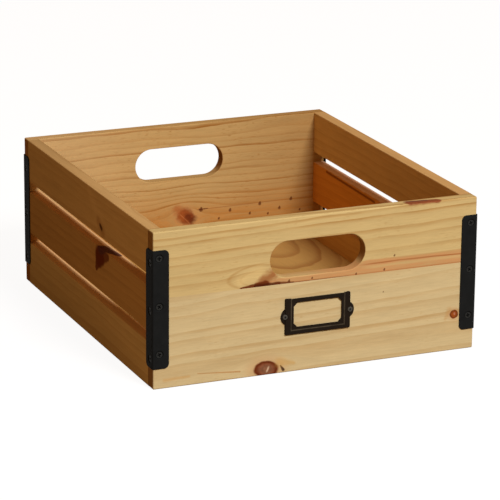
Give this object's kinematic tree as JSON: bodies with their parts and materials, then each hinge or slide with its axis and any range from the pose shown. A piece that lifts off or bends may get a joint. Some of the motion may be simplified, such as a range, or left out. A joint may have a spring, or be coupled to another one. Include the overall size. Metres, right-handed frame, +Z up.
{
  "type": "wooden apple crate",
  "caption": "Open-topped pine crate with slatted sides, hand slots in the end boards, black steel corner brackets and a small metal label holder on the front.",
  "frame": {"origin": "centre of the footprint, on the plane that the crate stands on", "axes": "+X to the right seen from the label holder, +Y from the front board to the back board, +Z up"},
  "size_m": [0.352, 0.387, 0.1605],
  "materials": {
    "pine_front": "clear satin, straw-coloured knotty pine",
    "pine_back": "clear satin, knotty pine",
    "pine_slats": "clear satin, knotty pine",
    "plywood": "clear satin, thin pine plywood",
    "bracket_black": "satin black powder coat",
    "screw_black": "black oxide",
    "holder_bronze": "dark antique bronze",
    "pin_steel": "worn steel"
  },
  "bodies": {
    "root": {"front_board_upper_plank": "pine_front", "front_board_lower_plank": "pine_front", "back_board": "pine_back", "left_slat_bottom": "pine_slats", "left_slat_middle": "pine_slats", "left_slat_top": "pine_slats", "right_slat_bottom": "pine_slats", "right_slat_middle": "pine_slats", "right_slat_top": "pine_slats", "floor_panel": "plywood", "corner_bracket_front_left": "bracket_black", "face_screws_front_left": "screw_black", "side_screws_front_left": "screw_black", "corner_bracket_front_right": "bracket_black", "face_screws_front_right": "screw_black", "side_screws_front_right": "screw_black", "corner_bracket_rear_left": "bracket_black", "face_screws_rear_left": "screw_black", "side_screws_rear_left": "screw_black", "corner_bracket_rear_right": "bracket_black", "face_screws_rear_right": "screw_black", "side_screws_rear_right": "screw_black", "label_holder": "holder_bronze", "label_holder_pins": "pin_steel"}
  },
  "joints": []
}
